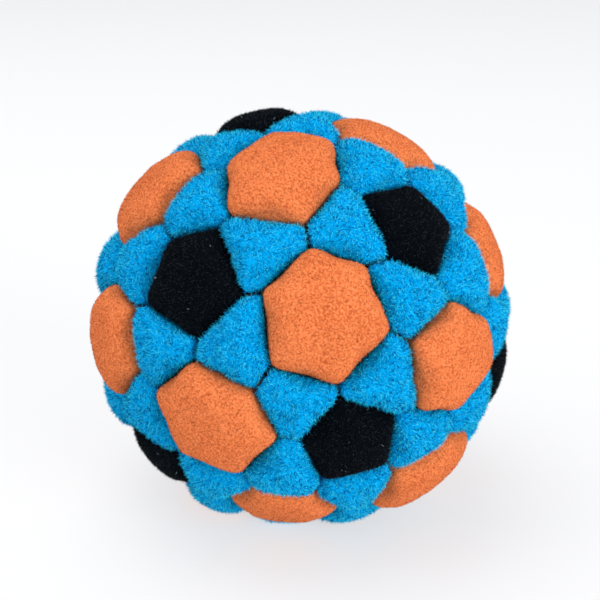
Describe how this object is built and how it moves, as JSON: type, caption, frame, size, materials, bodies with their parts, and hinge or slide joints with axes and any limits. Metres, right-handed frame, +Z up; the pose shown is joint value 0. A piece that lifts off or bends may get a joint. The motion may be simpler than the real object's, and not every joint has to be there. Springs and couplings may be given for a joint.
{
  "type": "juggling ball",
  "caption": "Small round juggling ball sewn from puffed suede panels in orange, blue and black, filled with loose sand.",
  "frame": {"origin": "middle of the flat that the ball rests on", "axes": "+Z up out of the rest flat through the ball's middle; -Y is the front, with an orange panel near its middle; +X to the right seen from the front"},
  "size_m": [0.0546, 0.0548, 0.0536],
  "materials": {
    "orange_suede": "suede nap, matte",
    "blue_suede": "suede nap, matte",
    "black_suede": "suede nap, matte",
    "black_thread": "waxed polyester thread",
    "sand": "dry fine sand"
  },
  "bodies": {
    "root": {"black_panel_01": "black_suede", "black_panel_02": "black_suede", "black_panel_03": "black_suede", "black_panel_04": "black_suede", "black_panel_05": "black_suede", "black_panel_06": "black_suede", "black_panel_07": "black_suede", "black_panel_08": "black_suede", "black_panel_09": "black_suede", "black_panel_10": "black_suede", "black_panel_11": "black_suede", "black_panel_12": "black_suede", "orange_panel_01": "orange_suede", "orange_panel_02": "orange_suede", "orange_panel_03": "orange_suede", "orange_panel_04": "orange_suede", "orange_panel_05": "orange_suede", "orange_panel_06": "orange_suede", "orange_panel_07": "orange_suede", "orange_panel_08": "orange_suede", "orange_panel_09": "orange_suede", "orange_panel_10": "orange_suede", "orange_panel_11": "orange_suede", "orange_panel_12": "orange_suede", "orange_panel_13": "orange_suede", "orange_panel_14": "orange_suede", "orange_panel_15": "orange_suede", "orange_panel_16": "orange_suede", "orange_panel_17": "orange_suede", "orange_panel_18": "orange_suede", "orange_panel_19": "orange_suede", "orange_panel_20": "orange_suede", "blue_ring_01": "blue_suede", "blue_ring_02": "blue_suede", "blue_ring_03": "blue_suede", "blue_ring_04": "blue_suede", "blue_ring_05": "blue_suede", "blue_ring_06": "blue_suede", "blue_ring_07": "blue_suede", "blue_ring_08": "blue_suede", "blue_ring_09": "blue_suede", "blue_ring_10": "blue_suede", "blue_ring_11": "blue_suede", "blue_ring_12": "blue_suede", "seam_thread": "black_thread", "closing_knot": "black_thread", "sand_filling": "sand"}
  },
  "joints": []
}
